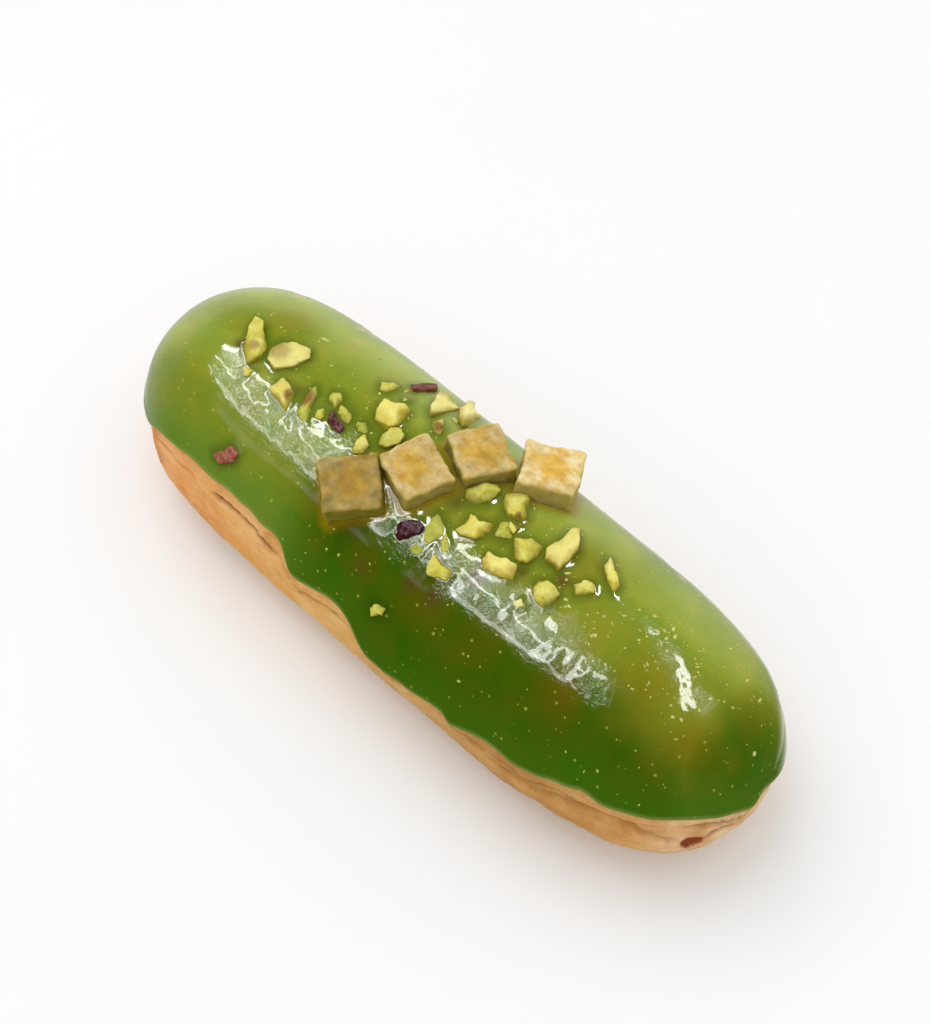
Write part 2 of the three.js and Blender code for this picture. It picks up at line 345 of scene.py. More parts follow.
def choux_form(share, turn, z):
    """How far the CAD's choux stands off the loaf's skin, in mm."""
    way = 2 * np.pi * share
    flank = np.sin(np.minimum(turn, 1.5) / 1.5 * np.pi)
    lumps = 0.25 * flank * ((np.sin(7 * way + 1) + np.sin(11 * way + 4 * turn)) / 2 - 1)
    crease = CREASE["deep"] * along(CREASE, share) * np.exp(-(((z - CREASE["z"]) / CREASE["half"]) ** 2))
    tuck = TUCK["deep"] * along(TUCK, share) * smooth(1, 1.3, turn) * (1 - smooth(1.45, 1.7, turn))
    return lumps - inset(z) - crease - tuck


print("choux under the icing's outside, mm:", np.round(inset(np.array([10, 20, 30])), 2))

# %% Rows and columns of the choux
VENT = {"at": 0.964, "z": 12.4, "long": 3.4, "high": 2.5, "deep": 1.0}
CHOUX_COLUMNS = 720

even = np.arange(CHOUX_COLUMNS) / CHOUX_COLUMNS
closer = 0.5 * np.sin(2 * np.pi * (even - VENT["at"])) / (2 * np.pi)  # columns crowd near the vent
choux_outline = plan_outline((even - closer) % 1)
base_turn = float(turn_at(np.array(0.0)))
choux_turns = np.concatenate([
    np.linspace(0, 0.5, 8, endpoint=False), np.linspace(0.5, 0.8, 20, endpoint=False),
    np.linspace(0.8, 1.15, 56, endpoint=False), np.linspace(1.15, base_turn, 40, endpoint=False),
    np.linspace(base_turn, 2, 8),
])
share, turn = np.meshgrid(choux_outline[2], choux_turns)
z = skin(choux_outline, turn)[..., 2]
form = choux_form(share, turn, z)
body = skin(choux_outline, turn, form)
print(f"{len(choux_turns)} rows of {CHOUX_COLUMNS} points")

# %% Relief of the choux
FOLD = [  # shares of the way round and heights in mm, along the fold
    (0.84, 11.9), (0.855, 12.7), (0.88, 14.1), (0.903, 15.6), (0.923, 16.2), (0.935, 14.9), (0.947, 14.1),
    (0.96, 13.4),
]
CRACK = [(0.965, 12.4), (0.97, 12.9), (0.975, 13.3), (0.98, 13.3), (0.986, 13), (0.993, 12.3)]

wrinkled = body * [1, 1, 1.8]  # the dough creased more across the flank than along it
relief = 0.22 * waviness(body, 8, 1, 2) + 0.1 * waviness(wrinkled, 2.6, 2, 2) + 0.04 * waviness(body, 0.9, 3)
ridges = 0.16 * (1 - np.abs(waviness(wrinkled, 4.5, 4, 2)) * 3).clip(0, 1)  # thin raised seams
from_vent = np.hypot(
    way_from(share, VENT["at"]) / (VENT["long"] / 2), (z - VENT["z"]) / (VENT["high"] / 2)
)
in_vent = np.exp(-((from_vent / (1 + 0.35 * waviness(body, 1.5, 5))) ** 6))
wandering = z + 0.3 * waviness(body, 2.5, 6)


def near_line(line, half):
    """1 on a line of shares and heights on the flank, and 0 half a line's width away from it."""
    at, height = zip(*line)
    ends = smooth(at[0], at[0] + 0.008, share) * (1 - smooth(at[-1] - 0.008, at[-1], share))
    return ends * np.exp(-(((wandering - np.interp(share, at, height)) / half) ** 2))


in_crack, in_fold = near_line(CRACK, 0.3), near_line(FOLD, 0.35)
over_fold = z - np.interp(share, *zip(*FOLD))
rolled = np.exp(-(((over_fold + 1.5) / 1.1) ** 2)) + 0.7 * np.exp(-(((over_fold - 1.3) / 0.9) ** 2))
rolled = rolled * smooth(0.84, 0.88, share) * (1 - smooth(0.94, 0.96, share))
print(f"choux relief from {relief.min():.2f} to {(relief + ridges).max():.2f} mm")

# %% The gap under the icing's lip
below_edge = edge_z(share) - z  # how far under the icing's edge, in mm
bare = smooth(-1, 0.5, below_edge) * (1 - smooth(base_turn - 0.12, base_turn, turn))
behind = 1.5 * (inset(edge_z(share)) + CLEARANCE)  # how much of the crust the lip hides, in mm
ragged_line = behind + 0.8 + 0.5 * waviness(body, 5, 8) + 0.55 * waviness(body, 1.2, 9)
gap = smooth(0.628, 0.64, share) * (1 - smooth(0.68, 0.692, share))  # where the coat lifted off
line_strength = np.maximum(0.6 * smooth(-0.45, 0.1, waviness(body, 8, 7, 2)), gap)
# a ragged line under the lip: a shallow groove in the crust, and painted shade in its colour
under_icing = line_strength * np.exp(-(((below_edge - ragged_line) / (0.24 + 0.1 * gap)) ** 2))

lift = form + bare * (relief + ridges + 0.25 * rolled - 0.4 * in_fold - 0.6 * under_icing)
lift = lift - VENT["deep"] * in_vent - 0.5 * in_crack
choux_rows = skin(choux_outline, turn, lift)
print(f"the gap's line is drawn on {100 * (under_icing > 0.3).mean():.1f} % of the points")

# %% [markdown]
# ## Choux crust
# Baked choux is a matt, dry skin of browned egg and flour. It is golden on the flank, more orange
# at the far left and paler at the near tip, browner where it bulged towards the heat, paler at its
# foot, and speckled where bubbles broke. It could be painted by hand, but brown marks of real
# sizes come from noise, and the rest from the relief itself, stored as values on the mesh. Under
# the icing's lip, in the fold, and in the vent and crack it is painted darker, which is painted shade
# in these hollows. A little subsurface light keeps the thin crust from looking like painted plaster.

# %% Choux crust's colour
choux_crust, add, place = new_material("baked_choux_crust")
patches = add("TexNoise", Vector=place, Scale=per(7), Detail=4)
along_loaf = add("SeparateXYZ", Vector=place, out="X")
where = add("MapRange", Value=along_loaf, From=(-0.065, 0.065))
light_bake = add("ValToRGB", Fac=where, stops=[
    (0.1, "#f8b676"), (0.4, "#f4c67e"), (0.65, "#dcad6a"), (0.8, "#d4a058"), (0.92, "#eab878"),
    (1.0, "#f8d6ac"),
])
dark_bake = add("ValToRGB", Fac=where, stops=[
    (0.1, "#ee9849"), (0.4, "#e8ac58"), (0.65, "#c98f48"), (0.8, "#bc8440"), (0.92, "#dca25a"),
    (1.0, "#eabc80"),
])
patch = add("MapRange", Value=patches, From=(0.35, 0.65))
high_spots, above_table, toasted, split = (
    add("Attribute", out="Fac", attribute_name=name)
    for name in ("high_spots", "table_mm", "toasted", "split")
)
swollen = add("MapRange", Value=high_spots, From=(0.05, 0.4), To=(0, 0.7))
low = add("MapRange", Value=above_table, From=(6.5, 1.5))
flattened = add("Mapping", Vector=place, Scale=(1, 1, 2.2))  # marks longer along the loaf
freckles = add("TexNoise", Vector=flattened, Scale=per(1.6), Detail=4, Roughness=0.65)
dark_freckles = add("MapRange", Value=freckles, From=(0.56, 0.72), To=(0, 0.28))
crust_colour = light_bake
# the last two layers are painted shade: under the icing's lip and in the fold, and in the vent and crack
for cover, colour in (  # each layer lies over the last
    (patch, dark_bake), (swollen, "#bd7838"), (low, "#dcb684"), (dark_freckles, "#9a5d2a"),
    (toasted, "#8f5524"), (split, "#9c4a28"),
):
    crust_colour = add("Mix", Factor=cover, A=crust_colour, B=colour, data_type="RGBA")
print("choux crust: colour patches 7 mm and freckles 1.6 mm apart")

# %% Choux crust's surface, and the piece
pores = add("TexNoise", Vector=place, Scale=per(0.5), Detail=2)  # really finer, but drawn so that they show
grain = add("TexNoise", Vector=flattened, Scale=per(1.5), Detail=4, Roughness=0.6)
uneven = add("Mix", Factor=0.35, A=grain, B=pores)
bumps = add("Bump", Height=uneven, Distance=0.00022, Strength=0.8)
dull = add("MapRange", Value=patches, From=(0.3, 0.7), To=(0.5, 0.68))
crust = add(
    "BsdfPrincipled", Base_Color=crust_colour, Roughness=dull, Normal=bumps, IOR=1.45,
    Specular_IOR_Level=0.25, Subsurface_Weight=0.12, Subsurface_Radius=(1.0, 0.5, 0.2),
    Subsurface_Scale=0.001,
)
add("OutputMaterial", Surface=crust)
choux_mesh = ring_mesh("choux_loaf", choux_rows, {
    "high_spots": relief + ridges,
    "table_mm": z,
    # painted shade: under the icing's lip and in the fold, and in the vent and crack
    "toasted": np.clip(np.maximum(under_icing, 0.4 * in_fold), 0, 1),
    "split": np.clip(smooth(0.02, 0.3, in_vent) + 0.8 * in_crack, 0, 1),
})
show(choux_mesh, choux_crust, ["choux_body"])

# %% [markdown]
# ## Icing coat
# The glaze is a thin shell over the choux, about 2 mm on top and 1 mm at the drips. Its lower edge
# is a rounded bead about 1 mm high, drawn in to the crust by surface tension. A solidify modifier
# would leave a square rim, so the rings are laid by formula and crowded towards the bead. Its
# inside lies just under the choux's surface, where no light gap can show. A tree of its faces then
# tells where the camera's pixels meet it, so that small things can be placed by the photo.

# %% The icing's surface
ICING_LEAST = 0.9  # thickness of the thin lower coat, in mm
BEAD = 1.1  # how far above its edge the coat rounds off, in mm
TOUCHING, INSIDE = 0.4, 0.7  # how deep in the choux the edge and the inside lie, in mm
ICING_COLUMNS, ICING_ROWS, INNER_ROWS = 800, 104, 7

icing_outline = plan_outline(np.arange(ICING_COLUMNS) / ICING_COLUMNS)
edge_turn = turn_at(edge_z(icing_outline[2]))
down = 1 - (1 - np.linspace(0, 1, ICING_ROWS + 1)) ** 1.5
turn = down[:, None] * edge_turn
z = skin(icing_outline, turn)[..., 2]
full = np.maximum(0, CLEARANCE - inset(z) + ICING_LEAST)
smooth_coat = skin(icing_outline, turn, full)
steps = np.linalg.norm(np.diff(smooth_coat, axis=0), axis=-1)
edge_mm = np.concatenate([np.cumsum(steps[::-1], 0)[::-1], np.zeros((1, ICING_COLUMNS))])

bead = (1 - (1 - np.clip(edge_mm / BEAD, 0, 1)) ** 2) ** 0.5
swell = smooth(0, 6, edge_mm)
slow_waves = swell * (0.14 * waviness(smooth_coat, 13, 11, 2) + 0.02 * waviness(smooth_coat, 3.6, 12))
touching = -TOUCHING - inset(z)
outer_lift = touching + (full + slow_waves - touching) * bead
coat = skin(icing_outline, turn, outer_lift)
print(f"icing edge to crest {edge_mm.max():.1f} mm")


# %% Where the camera's pixels meet the icing
def tree_of(points, faces):
    """A tree that finds where a ray meets the faces, or which is nearest."""
    return BVHTree.FromPolygons(points.reshape(-1, 3).tolist(), faces)


coat_tree = tree_of(coat, ring_faces(coat))


def on_icing(pixel):
    """The point of the icing that the camera sees at a pixel, and the way out of it there, in mm."""
    hit, normal, _, _ = coat_tree.ray_cast(Vector(eye), Vector(sight(pixel)))
    hit, normal = np.array(hit), np.array(normal)
    return hit, normal if normal @ back > 0 else -normal


print("middle of the picture meets the icing at", np.round(on_icing((465, 512))[0], 1))

# %% [markdown]
# ## Candied citrus squares
# Candied peel is simmered in syrup until it is clear right through, then cut with a knife. Each
# square is a box with its edges rounded by the syrup, faces that bow a little, and a skin of tiny
# sugar grains. A bevel would make its edges too even. So a cube is cut into a fine grid, rounded
# with the CAD's own formula, and then roughened: most at the ragged edges, with fine grains over it.

# %% Citrus squares
CITRUS = [  # x, y, z of the middle of the top in mm, long, wide, deep, yaw, pitch, seed
    (-12.3, -9.8, 34.4, 9.8, 9.6, 5, 48, -12, 1), (-6.1, -1.1, 36.2, 8.9, 9.9, 5, 68, -2, 2),
    (-1.2, 8.6, 35.3, 9, 9.6, 5.5, 65, 6, 3), (8.3, 14.8, 33.9, 9.6, 10, 7.5, 30, 14, 4),
]
CITRUS_ROUND, CITRUS_UNEVEN, CITRUS_BOW, CITRUS_CUTS = 0.6, 0.18, 2.4, 60


def points_and_faces(shape):
    """Points and faces of a bmesh that isn't needed any more."""
    points = np.array([v.co for v in shape.verts])
    faces = np.array([[v.index for v in f.verts] for f in shape.faces])
    shape.free()
    return points, faces


def citrus_square(cube, x, y, top, long, wide, deep, yaw, pitch, seed):
    """Points of one square in mm, and how near each is to the middle of its face and to its foot."""
    half = np.array([long, wide, deep]) / 2
    point = cube * half
    core = np.clip(point, CITRUS_ROUND - half, half - CITRUS_ROUND)
    away = point - core
    outward = away / np.linalg.norm(away, axis=1, keepdims=True)
    point = core + CITRUS_ROUND * outward
    u, v = point[:, 0] / half[0], point[:, 1] / half[1]
    bow = lambda phase, across: CITRUS_UNEVEN * np.sin(phase + CITRUS_BOW * across)
    point = point + np.stack([
        bow(2 * seed, v) + CITRUS_UNEVEN * u * v / 2,
        bow(3 * seed, u) + CITRUS_UNEVEN * u * v / 2,
        bow(5 * seed, u - v) / 2,
    ], -1)
    rim = smooth(0.55, 1, np.maximum(abs(u), abs(v)))
    rough = (0.07 + 0.2 * rim) * waviness(point, 1.8, 20 + seed, 2) + 0.035 * waviness(point, 0.7, 30 + seed)
    point = point + outward * rough[:, None] - [0, 0, half[2]]
    middle = 1 - np.clip(np.hypot(u, v), 0, 1)
    spin = Matrix.Rotation(np.radians(-pitch), 3, "X") @ Matrix.Rotation(np.radians(yaw), 3, "Z")
    return point @ np.array(spin).T + [x, y, top], middle, -point[:, 2]


shape = bmesh.new()
bmesh.ops.create_cube(shape, size=2)
bmesh.ops.subdivide_edges(shape, edges=shape.edges[:], cuts=CITRUS_CUTS, use_grid_fill=True)
cube, cube_faces = points_and_faces(shape)
squares = [citrus_square(cube, *sizes) for sizes in CITRUS]
print(f"{len(squares)} squares of {len(cube)} points each")

# %% [markdown]
# ## Candied citrus
# Sugar has filled the peel, so light goes in, spreads and comes out warm. Glass with haze in it
# would show that too but renders slowly, so it gets a strong subsurface share with a radius of over
# two millimetres in red. Patches of clear gold lie in the middle of each face, the dried rims are
# paler, and the cut sides turn darker olive towards their foot, partly from the glaze and partly as
# painted shade. Sugar grains leave it satin, and they are fine enough to be bump.

# %% Candied citrus's colour
candied_citrus, add, place = new_material("candied_citrus_peel")
pale, middle, depth = (
    add("Attribute", out="Fac", attribute_name=name) for name in ("pale", "middle", "depth_mm")
)
mottle = add("TexNoise", Vector=place, Scale=per(1.9), Detail=4, Roughness=0.55)
spread = add("MapRange", Value=mottle, From=(0.33, 0.67))
brown_rind, pale_rind, brown_heart, pale_heart = (
    add("Mix", Factor=spread, A=dark, B=light, data_type="RGBA") for dark, light in (
        ("#8a7836", "#bca868"), ("#dabb76", "#f8e8ba"), ("#a27a18", "#c8a438"), ("#dcac3c", "#f0cc6c"),
    )
)
rind = add("Mix", Factor=pale, A=brown_rind, B=pale_rind, data_type="RGBA")
gold = add("Mix", Factor=pale, A=brown_heart, B=pale_heart, data_type="RGBA")
cloud = add("TexNoise", Vector=place, Scale=per(2.6), Detail=4, Roughness=0.6)
centred = add("Math", middle, 0.45, cloud, operation="MULTIPLY_ADD")
heart = add("MapRange", Value=centred, From=(0.48, 0.76))
stretched = add("Mapping", Vector=place, Scale=(1, 2.5, 1))
fibres = add("TexNoise", Vector=stretched, Scale=per(0.9), Detail=4, Distortion=0.8)
veins = add("MapRange", Value=fibres, From=(0.55, 0.7), To=(0, 0.3))
# the cut sides darker olive towards the foot: partly glaze soaked in, partly painted shade
side_glaze_and_shade = add("MapRange", Value=depth, From=(0.0, 0.7), To=(0, 0.9))
side_glaze_and_shade_colour = add("Mix", Factor=pale, A="#786f14", B="#a8984a", data_type="RGBA")
peel_colour = rind
for cover, colour in ((heart, gold), (veins, "#a07c28"), (side_glaze_and_shade, side_glaze_and_shade_colour)):
    peel_colour = add("Mix", Factor=cover, A=peel_colour, B=colour, data_type="RGBA")
print("citrus: mottle 1.9 mm, gold patches 2.6 mm and fibres 0.9 mm apart")

# %% Candied citrus's surface, and the pieces
CITRUS_PALE = (0.0, 0.6, 0.5, 1.0)  # how pale each square is

sugar = add("TexVoronoi", Vector=place, Scale=per(0.6), out="Distance")  # grains coarse enough to show
grainy = add("Mix", Factor=0.5, A=sugar, B=fibres)
bumps = add("Bump", Height=grainy, Distance=0.00006, Strength=0.8)
satin = add("MapRange", Value=mottle, From=(0.3, 0.7), To=(0.42, 0.58))
peel = add(
    "BsdfPrincipled", Base_Color=peel_colour, Roughness=satin, Normal=bumps, IOR=1.47,
    Specular_IOR_Level=0.15, Subsurface_Weight=0.9, Subsurface_Radius=(1.6, 1.1, 0.3),
    Subsurface_Scale=0.0015,
)
add("OutputMaterial", Surface=peel)
for i, (paleness, (points, near_middle, deep)) in enumerate(zip(CITRUS_PALE, squares), 1):
    values = {"middle": near_middle, "depth_mm": deep, "pale": np.full(len(points), paleness)}
    mesh = new_mesh(f"candied_citrus_{i}", points, cube_faces.tolist(), values)
    show(mesh, candied_citrus, [f"citrus_square_{i}"])

# %% [markdown]
# ## Chopped pistachio
# A chopped kernel breaks into chips with flat cuts and crumbly ends. Scattered copies of a few
# chips would look alike, so each chip is given by the outline that the camera sees. The outline's
# pixels are carried to a plane that lies on the glaze there, and a ball of points is pulled out to
# it: upright sides, a top cut by a few flat planes, and a little noise. So each chip has the right
# outline and is a real solid from every side.

# %% Outlines of the chips, in pixels of the picture
CHIPS = [  # outline as x, y, x, y ..., and share of green
    ([256, 319, 264, 323, 263, 332, 267, 346, 262, 356, 247, 363, 242, 347, 249, 331], 0.35),
    ([272, 346, 283, 342, 297, 344, 311, 350, 310, 359, 292, 367, 275, 369, 267, 359], 0.3),
    ([242, 368, 248, 367, 256, 371, 251, 376, 244, 376], 0.4),
    ([283, 378, 290, 384, 294, 394, 291, 404, 286, 412, 276, 400, 269, 389, 277, 383], 0.1),
    ([316, 387, 319, 394, 312, 408, 311, 421, 306, 431, 297, 430, 294, 417, 299, 403], 0.75),
    ([316, 410, 324, 409, 325, 416, 320, 421, 314, 418], 0.5),
    ([341, 406, 349, 409, 354, 414, 348, 424, 341, 419, 338, 413], 0.6),
    ([356, 419, 367, 424, 373, 430, 365, 435, 356, 432, 351, 424], 1.0),
    ([333, 392, 341, 394, 343, 401, 334, 408, 329, 400], 0.5),
    ([384, 401, 393, 403, 406, 405, 411, 410, 405, 418, 398, 425, 388, 428, 375, 419, 377, 411], 0.0),
    ([391, 427, 401, 430, 404, 438, 398, 445, 386, 448, 378, 445, 380, 437], 0.5),
    ([382, 382, 390, 382, 401, 386, 397, 389, 386, 392, 380, 390], 0.5),
    ([404, 397, 411, 398, 411, 402, 403, 402], 0.5),
    ([439, 392, 449, 394, 453, 402, 459, 409, 445, 412, 431, 414, 430, 407, 434, 400], 0.0),
    ([468, 401, 475, 402, 475, 410, 480, 417, 476, 423, 465, 423, 460, 416, 460, 408], 0.1),
    ([432, 421, 443, 420, 445, 428, 440, 435, 433, 432], 0.2),
    ([506, 494, 518, 492, 529, 496, 531, 503, 528, 517, 518, 519, 508, 515, 503, 501], 0.3),
    ([466, 488, 478, 482, 497, 484, 501, 491, 492, 500, 475, 503, 466, 497], 0.6),
    ([471, 516, 480, 521, 493, 523, 492, 532, 474, 539, 459, 535, 455, 530, 464, 524], 0.15),
    ([438, 514, 443, 518, 448, 530, 440, 539, 428, 548, 424, 541, 427, 528, 433, 518], 0.8),
    ([446, 533, 453, 541, 447, 554, 440, 553, 438, 543], 0.75),
    ([499, 522, 508, 523, 512, 532, 511, 541, 503, 543, 494, 538, 495, 528], 0.75),
    ([510, 522, 521, 527, 513, 534, 509, 529], 0.0),
    ([515, 539, 531, 538, 544, 546, 537, 556, 526, 563, 515, 559, 513, 549], 0.35),
    ([573, 526, 580, 529, 578, 549, 568, 561, 559, 569, 554, 563, 545, 558, 546, 551, 560, 540], 0.15),
    ([488, 552, 497, 558, 506, 560, 517, 565, 514, 580, 500, 577, 482, 568, 480, 561], 0.0),
    ([434, 554, 443, 562, 453, 573, 446, 581, 428, 575, 427, 567], 0.3),
    ([538, 580, 548, 581, 559, 594, 551, 606, 542, 608, 534, 599, 532, 588], 0.35),
    ([573, 584, 594, 582, 595, 593, 576, 595], 0.25),
    ([610, 557, 615, 573, 621, 586, 614, 592, 607, 579, 604, 566], 0.1),
    ([370, 608, 377, 604, 385, 609, 382, 616, 372, 616], 0.5),
    ([407, 543, 418, 540, 424, 550, 420, 559, 410, 555], 1.0),
    ([514, 603, 521, 600, 525, 606, 517, 609], 0.0),
    ([351, 448, 359, 440, 365, 436, 369, 446, 362, 454, 352, 454], 0.25),
]
SKINS = [  # maroon and purple flakes of the seed's skin: the same outline, and share of red
    ([334, 411, 337, 419, 345, 429, 340, 436, 330, 433, 327, 424, 330, 414], 0.2),
    ([401, 522, 412, 521, 421, 521, 424, 527, 422, 534, 410, 537, 398, 542, 391, 537, 394, 529], 0.0),
    ([410, 386, 420, 385, 436, 386, 436, 392, 426, 393, 413, 392], 0.5),
    ([214, 451, 223, 447, 233, 446, 239, 454, 235, 462, 222, 464, 214, 457], 1.0),
]
print(f"{len(CHIPS)} chips and {len(SKINS)} flakes of skin")


# %% The shape of a chip
PIXELS_PER_MM = 6.3
BOXY = 8  # how square a chip's upright section is
CUT_TILT, CUT_REACH, CUT_SHARP = (8, 66), (0.58, 0.92), 24  # degrees, share of the chip's half, exponent


def ball(cuts):
    """Directions and faces of a ball of even triangles."""
    shape = bmesh.new()
    bmesh.ops.create_icosphere(shape, subdivisions=cuts, radius=1)
    return points_and_faces(shape)


def chip(directions, outline, high, sunk, cuts, seed):
    """Points in mm of a chip that fills an outline, lies sunk mm deep in the glaze and is high mm tall.
    Also gives its points and a pixel in the chip's own plane, and how near each point is to its foot."""
    pixels = np.array(outline, float).reshape(-1, 2)
    seat, out = on_icing(pixels.mean(0))
    plane = seat + out * (high / 2 - sunk)
    side = right - out * (right @ out)
    side = side / np.linalg.norm(side)
    axes = np.array([side, np.cross(out, side), out])

    def to_plane(pixel):
        way = sight(pixel)
        return (axes @ (eye + way * ((plane - eye) @ out) / (way @ out) - plane))[:2]

    flat = np.array([to_plane(p) for p in pixels])
    centre = flat.mean(0)
    rim = np.vstack([flat, flat[:1]]) - centre
    rim = np.vstack([a + (b - a) * t for a, b in zip(rim, rim[1:]) for t in np.linspace(0, 1, 12)[:-1]])
    bearing = np.arctan2(rim[:, 1], rim[:, 0])
    order = np.argsort(bearing)
    theta = np.arctan2(directions[:, 1], directions[:, 0])
    reach = np.interp(theta, bearing[order], np.hypot(*rim[order].T), period=2 * np.pi)
    across, upward = np.hypot(*directions[:, :2].T), directions[:, 2]
    point = directions / ((across**BOXY + np.abs(upward) ** BOXY) ** (1 / BOXY))[:, None]
    rng = np.random.default_rng(seed)
    for _ in range(cuts):
        tilt, turn_to = np.radians(rng.uniform(*CUT_TILT)), rng.uniform(0, 2 * np.pi)
        cut = np.array([np.sin(tilt) * np.cos(turn_to), np.sin(tilt) * np.sin(turn_to), np.cos(tilt)])
        over = np.maximum(point @ cut, 1e-6) / rng.uniform(*CUT_REACH)
        point = point / ((1 + over**CUT_SHARP) ** (1 / CUT_SHARP))[:, None]
    foot = smooth(0.75, -0.3, point[:, 2])
    point = point * np.stack([reach, reach, np.full_like(reach, high / 2)], -1)
    crumbly = 0.19 * waviness(point, 1.4, seed, 2) + 0.12 * waviness(point, 0.6, seed + 1, 2)
    point = point + directions * crumbly[:, None]
    point[:, :2] += centre
    return plane + point @ axes, point[:, :2], to_plane, foot


def outline_area(outline):
    """Area of a pixel outline in square mm."""
    x, y = np.array(outline, float).reshape(-1, 2).T
    return abs(x @ np.roll(y, 1) - y @ np.roll(x, 1)) / 2 / PIXELS_PER_MM**2


chip_directions, chip_faces = ball(5)
print(f"largest chip covers {max(outline_area(chip_row[0]) for chip_row in CHIPS):.0f} square mm")

# %% The chips and flakes
CREAMY_CHIPS = {1: 0.45, 3: 0.2, 13: 0.6, 14: 0.9, 24: 0.35, 25: 0.3, 32: 0.5}  # how creamy
BROWN_PATCHES = {  # on which chips, and each one's middle and radius in pixels and strength
    0: (254, 348, 7, 0.6), 1: (279, 352, 13, 0.5), 3: (291, 396, 8, 0.9), 4: (305, 399, 12, 0.9),
    15: (438, 428, 8, 0.9), 16: (518, 518, 4, 0.9), 22: (519, 527, 5, 0.9),
    27: (543, 600, 1.2, 0.6),
}
FLAT_CHIPS = {1: 0.5, 11: 0.6, 12: 0.6, 13: 0.8}  # which chips are flatter, and by how much
CHIP_HIGH, CHIP_SUNK, GREEN_SUNK, CHIP_CUTS = 0.72, 0.35, 0.62, 7  # shares of its width and of its height
FLAKE_HIGH, FLAKE_SUNK, FLAKE_CUTS = 1.4, 0.75, 1  # mm

chip_points = []
chip_values = {"green": [], "brown": [], "foot": [], "cream": []}
for i, (outline, green) in enumerate(CHIPS):
    high = CHIP_HIGH * outline_area(outline) ** 0.5 * FLAT_CHIPS.get(i, 1)
    sunk = high * (CHIP_SUNK if green < 0.7 else GREEN_SUNK)  # the green ones lie deeper in the glaze
    points, flat, to_plane, foot = chip(chip_directions, outline, high, sunk, CHIP_CUTS, 100 + i)
    brown = 0
    if i in BROWN_PATCHES:
        x, y, radius, strength = BROWN_PATCHES[i]
        away = np.linalg.norm(flat - to_plane((x, y)), axis=1)
        brown = smooth(1.3, 0.5, away / (radius / PIXELS_PER_MM)) * strength
    chip_points.append(points)
    for found, value in zip(chip_values.values(), (green, brown, foot, CREAMY_CHIPS.get(i, 0))):
        found.append(np.broadcast_to(value, len(points)))
skin_points = [
    chip(chip_directions, outline, FLAKE_HIGH, FLAKE_SUNK, FLAKE_CUTS, 200 + i)[0]
    for i, (outline, _) in enumerate(SKINS)
]
longest = [max(np.ptp(points, axis=0)) for points in chip_points]
print(f"chips {min(longest):.1f} to {max(longest):.1f} mm long")

# %% [markdown]
# ## Pistachio kernel and skin
# The kernel is a dense, waxy seed: yellow inside and greener outside, with a dull cut face that lets
# a little light in. Some chips are creamier, some keep a brown patch, and their feet are darker
# olive, partly tinted by the glaze and partly as painted shade. The papery skin dries to a maroon that
# is nearly black, or a redder brown, and is glossy where it is wet with glaze. A picture could be
# wrapped round them, but plain noise and stored values give each chip its own pattern.

# %% Pistachio kernel
pistachio_kernel, add, place = new_material("pistachio_kernel")
cloudy = add("TexNoise", Vector=place, Scale=per(1.8), Detail=3)
inside = add("ValToRGB", Fac=cloudy, stops=[(0.35, "#f6e258"), (0.65, "#fff592")])
outside = add("ValToRGB", Fac=cloudy, stops=[(0.35, "#93a01e"), (0.65, "#b6bc3c")])
green, brown, foot, cream = (add("Attribute", out="Fac", attribute_name=name) for name in chip_values)
broad = add("TexNoise", Vector=place, Scale=per(3.2), Detail=2)
greenness = add("Mix", Factor=0.25, A=green, B=broad)
# the chips' feet darker olive: partly tinted by the glaze, partly painted shade
foot_glaze_and_shade_colour = add("Mix", Factor=green, A="#b09a1c", B="#6f7a10", data_type="RGBA")
glaze_and_shade_at_foot = add("MapRange", Value=foot, From=(0.05, 0.9), To=(0, 0.9))
kernel_colour = inside
for cover, colour in ((greenness, outside), (cream, "#fdf0a4"), (brown, "#8f5f2c"), (glaze_and_shade_at_foot, foot_glaze_and_shade_colour)):
    kernel_colour = add("Mix", Factor=cover, A=kernel_colour, B=colour, data_type="RGBA")
crumble = add("TexNoise", Vector=place, Scale=per(0.6), Detail=4, Roughness=0.65)
bumps = add("Bump", Height=crumble, Distance=0.00015, Strength=0.7)
waxy = add("MapRange", Value=cloudy, From=(0.3, 0.7), To=(0.38, 0.55))
nut = add(
    "BsdfPrincipled", Base_Color=kernel_colour, Roughness=waxy, Normal=bumps, IOR=1.46,
    Specular_IOR_Level=0.25, Subsurface_Weight=0.5, Subsurface_Radius=(1.0, 0.9, 0.3),
    Subsurface_Scale=0.001,
)
add("OutputMaterial", Surface=nut)
print("kernel: clouds of colour 1.8 mm and crumble 0.6 mm apart")

# %% Pistachio skin
seed_skin, add, place = new_material("pistachio_skin")
papery = add("TexNoise", Vector=place, Scale=per(0.9), Detail=4, Roughness=0.6)
maroon = add("ValToRGB", Fac=papery, stops=[(0.35, "#2b0813"), (0.7, "#561526")])
reddish = add("ValToRGB", Fac=papery, stops=[(0.35, "#86402f"), (0.7, "#b87658")])
red = add("Attribute", out="Fac", attribute_name="red")
skin_colour = add("Mix", Factor=red, A=maroon, B=reddish, data_type="RGBA")
bumps = add("Bump", Height=papery, Distance=0.0002, Strength=0.8)
wet = add("MapRange", Value=papery, From=(0.3, 0.7), To=(0.25, 0.42))
flake = add(
    "BsdfPrincipled", Base_Color=skin_colour, Roughness=wet, Normal=bumps, IOR=1.48,
    Specular_IOR_Level=0.3,
)
add("OutputMaterial", Surface=flake)
print("skin: papery creases 0.9 mm apart")


# %% Chips and flakes in place
def together(parts, faces):
    """The points and faces of parts that have the same faces."""
    every = np.vstack([faces + i * len(parts[0]) for i in range(len(parts))])
    return np.vstack(parts), every.tolist()


